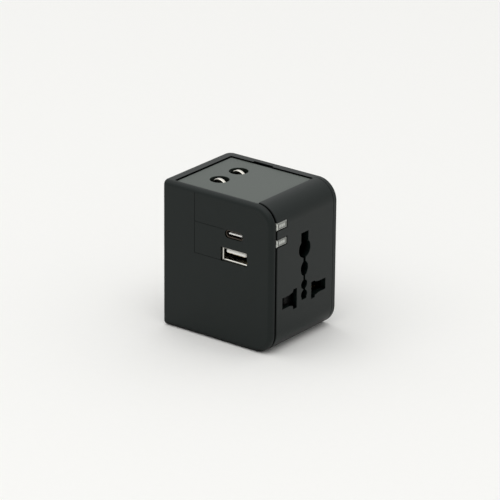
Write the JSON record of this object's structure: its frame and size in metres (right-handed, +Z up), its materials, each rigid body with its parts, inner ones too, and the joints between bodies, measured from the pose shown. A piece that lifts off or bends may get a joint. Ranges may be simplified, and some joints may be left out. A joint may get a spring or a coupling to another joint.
{
  "type": "travel adapter",
  "caption": "Block-shaped travel adapter with retracting flat blades and round pins, fold-out square pins, a multi-standard socket and USB outlets.",
  "frame": {"origin": "centre of the outline on the plane that the bottom rim stands on", "axes": "+Z up, +X out of the socket face, -Y out of the USB face"},
  "size_m": [0.056, 0.044, 0.064],
  "materials": {
    "casing_plastic": "fine satin texture, black",
    "panel_plastic": "fine matte texture, black",
    "inner_plastic": "plain black moulding",
    "slider_plastic": "satin black",
    "window_plastic": "translucent smoke grey",
    "plated_blade": "bright nickel plate",
    "brass_strip": "stamped brass",
    "steel": "zinc plated",
    "outlet_shell": "bright nickel plate",
    "white_plastic": "moulded white",
    "board": "green solder mask",
    "chip": "moulded epoxy",
    "lamp": "clear epoxy over phosphor",
    "ferrite": "sintered ferrite",
    "tape": "polyester tape",
    "capacitor": "sleeved can",
    "fuse_glass": "clear tube",
    "gold_contact": "gold flash"
  },
  "bodies": {
    "casing": {"outer_shell": "casing_plastic", "front_cover": "casing_plastic", "top_panel": "panel_plastic", "bottom_panel": "panel_plastic", "uk_pin_housing": "inner_plastic", "chassis_web": "inner_plastic", "socket_base": "inner_plastic", "uk_hinge_shafts": "steel", "bus_bar_line": "brass_strip", "bus_bar_neutral": "brass_strip", "socket_contact_line": "brass_strip", "socket_contact_neutral": "brass_strip", "usb_board": "board", "usb_a_shell": "outlet_shell", "usb_a_tongue": "white_plastic", "usb_a_contacts": "gold_contact", "usb_c_shell": "outlet_shell", "usb_c_tongue": "inner_plastic", "charge_controller": "chip", "light_guide_lower": "window_plastic", "light_guide_upper": "window_plastic", "light_board": "board", "lamps": "lamp", "power_board": "board", "transformer_core": "ferrite", "transformer_winding": "tape", "capacitors": "capacitor", "fuse_glass": "fuse_glass", "fuse_caps": "steel", "fuse_clips": "brass_strip", "board_link_pins": "steel", "back_screws": "steel", "base_screws": "steel"},
    "us_blade_carriage": {"us_carriage": "inner_plastic", "us_slider": "slider_plastic", "us_wiper_line": "brass_strip", "us_wiper_neutral": "brass_strip"},
    "us_line_blade": {"us_turret_line": "inner_plastic", "us_blade_line": "plated_blade", "us_turret_clip_line": "steel"},
    "us_neutral_blade": {"us_turret_neutral": "inner_plastic", "us_blade_neutral": "plated_blade", "us_turret_clip_neutral": "steel"},
    "eu_pin_carriage": {"eu_carriage": "inner_plastic", "eu_slider": "slider_plastic", "eu_wiper_line": "brass_strip", "eu_wiper_neutral": "brass_strip", "eu_pin_line": "plated_blade", "eu_pin_neutral": "plated_blade", "eu_pin_sleeves": "inner_plastic"},
    "uk_line": {"uk_line_pin": "plated_blade", "uk_line_sleeve": "inner_plastic"},
    "uk_neutral": {"uk_neutral_pin": "plated_blade", "uk_neutral_sleeve": "inner_plastic"},
    "uk_earth": {"uk_earth_pin": "inner_plastic"}
  },
  "joints": [
    {"name": "us_slide", "type": "slide", "parent": "casing", "child": "us_blade_carriage", "axis": [0, 0, 1], "range_m": [0, 0.0158]},
    {"name": "us_line_twist", "type": "hinge", "parent": "us_blade_carriage", "child": "us_line_blade", "pos_m": [-0.011, 0.00635, 0.046], "axis": [0, 0, -1], "range_deg": [0, 30]},
    {"name": "us_neutral_twist", "type": "hinge", "parent": "us_blade_carriage", "child": "us_neutral_blade", "pos_m": [-0.011, -0.00635, 0.046], "axis": [0, 0, 1], "range_deg": [0, 30]},
    {"name": "eu_slide", "type": "slide", "parent": "casing", "child": "eu_pin_carriage", "axis": [0, 0, -1], "range_m": [0, 0.0195]},
    {"name": "uk_line_fold", "type": "hinge", "parent": "casing", "child": "uk_line", "pos_m": [-0.0256, 0.0111, 0.0211], "axis": [0, -1, 0], "range_deg": [0, 90]},
    {"name": "uk_neutral_fold", "type": "hinge", "parent": "casing", "child": "uk_neutral", "pos_m": [-0.0256, -0.0111, 0.0211], "axis": [0, -1, 0], "range_deg": [0, 90]},
    {"name": "uk_earth_fold", "type": "hinge", "parent": "casing", "child": "uk_earth", "pos_m": [-0.02365, 0, 0.0433], "axis": [0, 1, 0], "range_deg": [0, 90]}
  ]
}
